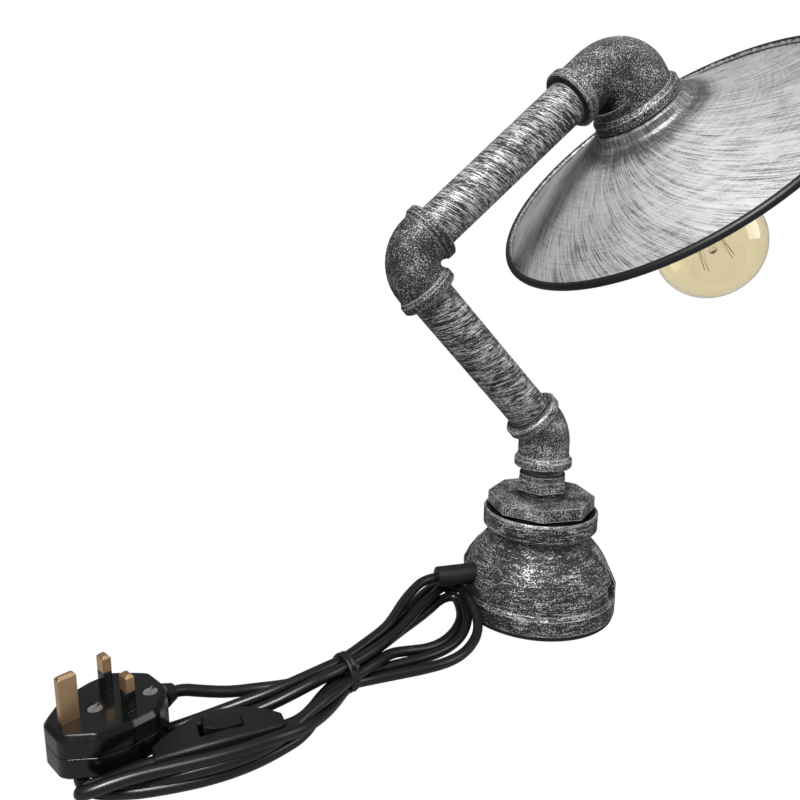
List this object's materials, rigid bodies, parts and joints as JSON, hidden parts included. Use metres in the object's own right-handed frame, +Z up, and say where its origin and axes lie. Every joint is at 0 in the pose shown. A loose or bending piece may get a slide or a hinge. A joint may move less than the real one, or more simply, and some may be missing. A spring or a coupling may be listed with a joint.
{
  "type": "table lamp",
  "caption": "Industrial table lamp of jointed iron pipe and elbows with a swivelling arm, conical metal shade, globe bulb, and a tied cord with rocker switch and plug.",
  "frame": {"origin": "centre of the foot's underside, on the table", "axes": "+Z up; the arm's bends lie in the XZ plane, the lower pipe leans toward -X and the shade reaches toward +X"},
  "size_m": [0.4549, 0.2517, 0.3716],
  "materials": {
    "cast_iron": "black iron, dry-brushed silver on its high spots",
    "pipe_steel": "black pipe with short silver strokes round it",
    "shade_steel": "black sheet under swirling silver strokes, satin",
    "plate_steel": "plain machined steel",
    "pad_rubber": "matt black",
    "brass": "worn satin brass",
    "bakelite": "black moulding",
    "ceramic": "off-white ceramic",
    "amber_glass": "clear blown glass, amber tint",
    "stem_glass": "clear glass",
    "insulator_glass": "black glass",
    "filament_wire": "fine dark wire",
    "solder": "dull solder",
    "cord_pvc": "black sheath with a faint green cast, satin",
    "tie_pvc": "black, matt",
    "gland_nylon": "black, satin",
    "switch_plastic": "fine-grained black",
    "rocker_plastic": "smooth black",
    "plug_plastic": "smooth black with soft shine",
    "screw_steel": "bright plated steel"
  },
  "bodies": {
    "foot": {"base_plate": "plate_steel", "base_socket": "cast_iron", "clamp_screw": "screw_steel", "cord_from_switch": "cord_pvc", "cord_gland": "gland_nylon", "cord_hank": "cord_pvc", "cord_lead": "cord_pvc", "cord_tie": "tie_pvc", "cord_to_plug": "cord_pvc", "cord_to_switch": "cord_pvc", "earth_pin": "brass", "flex_base": "cord_pvc", "foot_pad": "pad_rubber", "fuse": "ceramic", "gland_nut": "gland_nylon", "hex_nipple": "cast_iron", "live_pin": "brass", "live_sleeve": "plug_plastic", "neutral_pin": "brass", "neutral_sleeve": "plug_plastic", "octagon_bush": "cast_iron", "plug_base": "plug_plastic", "plug_boot": "gland_nylon", "plug_cover": "plug_plastic", "plug_screw": "screw_steel", "rocker_cradle": "switch_plastic", "switch_base": "switch_plastic", "switch_contact_a": "brass", "switch_contact_b": "brass", "switch_cover": "switch_plastic"},
    "lower_arm": {"lower_elbow": "cast_iron", "lower_pipe": "pipe_steel", "flex_lower": "cord_pvc"},
    "upper_arm": {"middle_elbow": "cast_iron", "upper_pipe": "pipe_steel", "flex_upper": "cord_pvc"},
    "head": {"head_elbow": "cast_iron", "outlet_bush": "plate_steel", "shade": "shade_steel", "rim_wire": "plate_steel", "holder_stem": "brass", "stem_nut": "brass", "holder_cap": "bakelite", "holder_body": "bakelite", "holder_insert": "ceramic", "screw_shell": "brass", "centre_contact": "brass", "flex_head": "cord_pvc"},
    "bulb_carrier": {"bulb_tip": "solder"},
    "bulb": {"cap_insulator": "insulator_glass", "bulb_cap": "brass", "bulb_glass": "amber_glass", "bulb_stem": "stem_glass", "filament": "filament_wire"},
    "rocker": {"switch_rocker": "rocker_plastic"}
  },
  "joints": [
    {"name": "arm_swivel", "type": "hinge", "parent": "foot", "child": "lower_arm", "pos_m": [0, 0, 0.0973], "axis": [0, 0, 1], "range_deg": [-120, 120]},
    {"name": "elbow_swivel", "type": "hinge", "parent": "lower_arm", "child": "upper_arm", "pos_m": [-0.09782, 0, 0.22726], "axis": [-0.6756, 0, 0.7373], "range_deg": [-75, 75]},
    {"name": "head_swivel", "type": "hinge", "parent": "upper_arm", "child": "head", "pos_m": [0.03068, 0, 0.34501], "axis": [0.7373, 0, 0.6756], "range_deg": [-100, 100]},
    {"name": "bulb_slide", "type": "slide", "parent": "head", "child": "bulb_carrier", "axis": [0.6647, 0.1241, -0.7367], "range_m": [0, 0.01455]},
    {"name": "bulb_turn", "type": "hinge", "parent": "bulb_carrier", "child": "bulb", "pos_m": [0.03068, 0, 0.34501], "axis": [0.6647, 0.1241, -0.7367], "range_deg": [0, 1440]},
    {"name": "rocker_tilt", "type": "hinge", "parent": "foot", "child": "rocker", "pos_m": [-0.2108, -0.1023, 0.0148], "axis": [-0.1564, 0.9877, 0], "range_deg": [-16, 0]}
  ],
  "couplings": [
    {"joint": "bulb_slide", "follows": "bulb_turn", "m_per_rad": 0.00057773}
  ]
}
